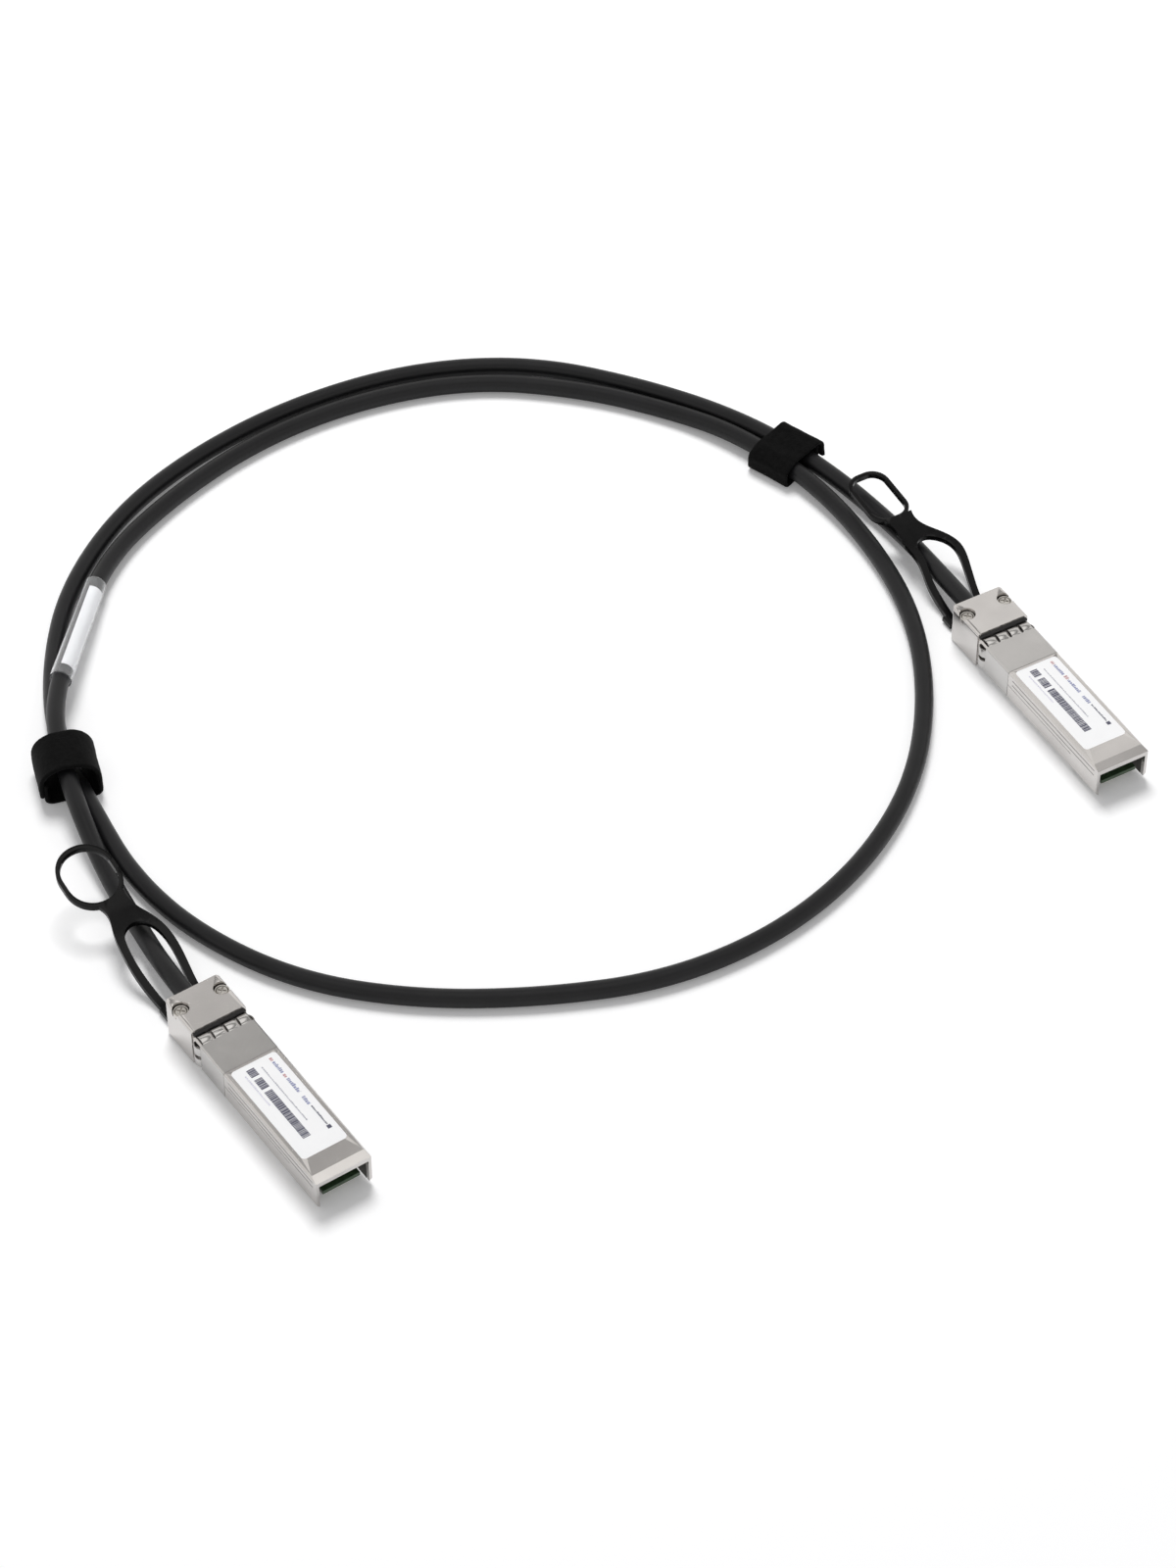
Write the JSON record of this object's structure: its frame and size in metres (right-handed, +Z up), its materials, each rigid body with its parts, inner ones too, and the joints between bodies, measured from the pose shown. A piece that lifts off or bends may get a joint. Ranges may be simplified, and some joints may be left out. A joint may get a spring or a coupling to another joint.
{
  "type": "direct attach copper cable",
  "caption": "Passive twinax network cable with a die-cast pluggable end on each side, sprung pull-to-release tabs, an identification sleeve and wrap ties, coiled in one loop.",
  "frame": {"origin": "centre of the base of the box that the two plugs fill, at the height of the surface the cable lies on", "axes": "+X along the longer side of the box round the two plugs, +Z up, away from the surface the cable lies on"},
  "size_m": [0.2515, 0.2668, 0.0132],
  "materials": {
    "diecast": "satin plated zinc die casting",
    "spring_steel": "thin bright spring steel",
    "circuit_board": "glossy solder mask",
    "gold_contact": "gold plated",
    "chip_black": "matt",
    "foil": "bright foil",
    "ferrule_metal": "nickel plated",
    "screw_steel": "nickel plated",
    "slider_steel": "stamped stainless sheet",
    "spring_wire": "drawn wire",
    "tab_black": "moulded, slightly glossy",
    "label_paper": "satin label film",
    "cable_jacket": "satin PVC jacket",
    "tie_black": "matt wrap",
    "clear_sleeve": "clear tube",
    "marker_paper": "printed film"
  },
  "bodies": {
    "cable_assembly": {"shell_bottom_a": "diecast", "shell_top_a": "diecast", "ground_collar_a": "spring_steel", "paddle_card_a": "circuit_board", "contact_pads_a": "gold_contact", "board_parts_a": "chip_black", "signal_pairs_a": "foil", "crimp_ferrule_a": "ferrule_metal", "clamp_screws_a": "screw_steel", "return_spring_a": "spring_wire", "plug_label_a": "label_paper", "shell_bottom_b": "diecast", "shell_top_b": "diecast", "ground_collar_b": "spring_steel", "paddle_card_b": "circuit_board", "contact_pads_b": "gold_contact", "board_parts_b": "chip_black", "signal_pairs_b": "foil", "crimp_ferrule_b": "ferrule_metal", "clamp_screws_b": "screw_steel", "return_spring_b": "spring_wire", "plug_label_b": "label_paper", "cable": "cable_jacket", "tie_a": "tie_black", "tie_b": "tie_black", "marker_sleeve": "clear_sleeve", "marker_label": "marker_paper"},
    "puller_a": {"release_slider_a": "slider_steel", "pull_tab_a": "tab_black"},
    "puller_b": {"release_slider_b": "slider_steel", "pull_tab_b": "tab_black"}
  },
  "joints": [
    {"name": "release_a", "type": "slide", "parent": "cable_assembly", "child": "puller_a", "axis": [-0.5707, 0.8211, 0], "range_m": [0, 0.0025], "stiffness_N_per_m": 600, "springref_m": -0.001, "deforming": ["return_spring_a"]},
    {"name": "release_b", "type": "slide", "parent": "cable_assembly", "child": "puller_b", "axis": [-0.5, 0.866, 0], "range_m": [0, 0.0025], "stiffness_N_per_m": 600, "springref_m": -0.001, "deforming": ["return_spring_b"]}
  ]
}
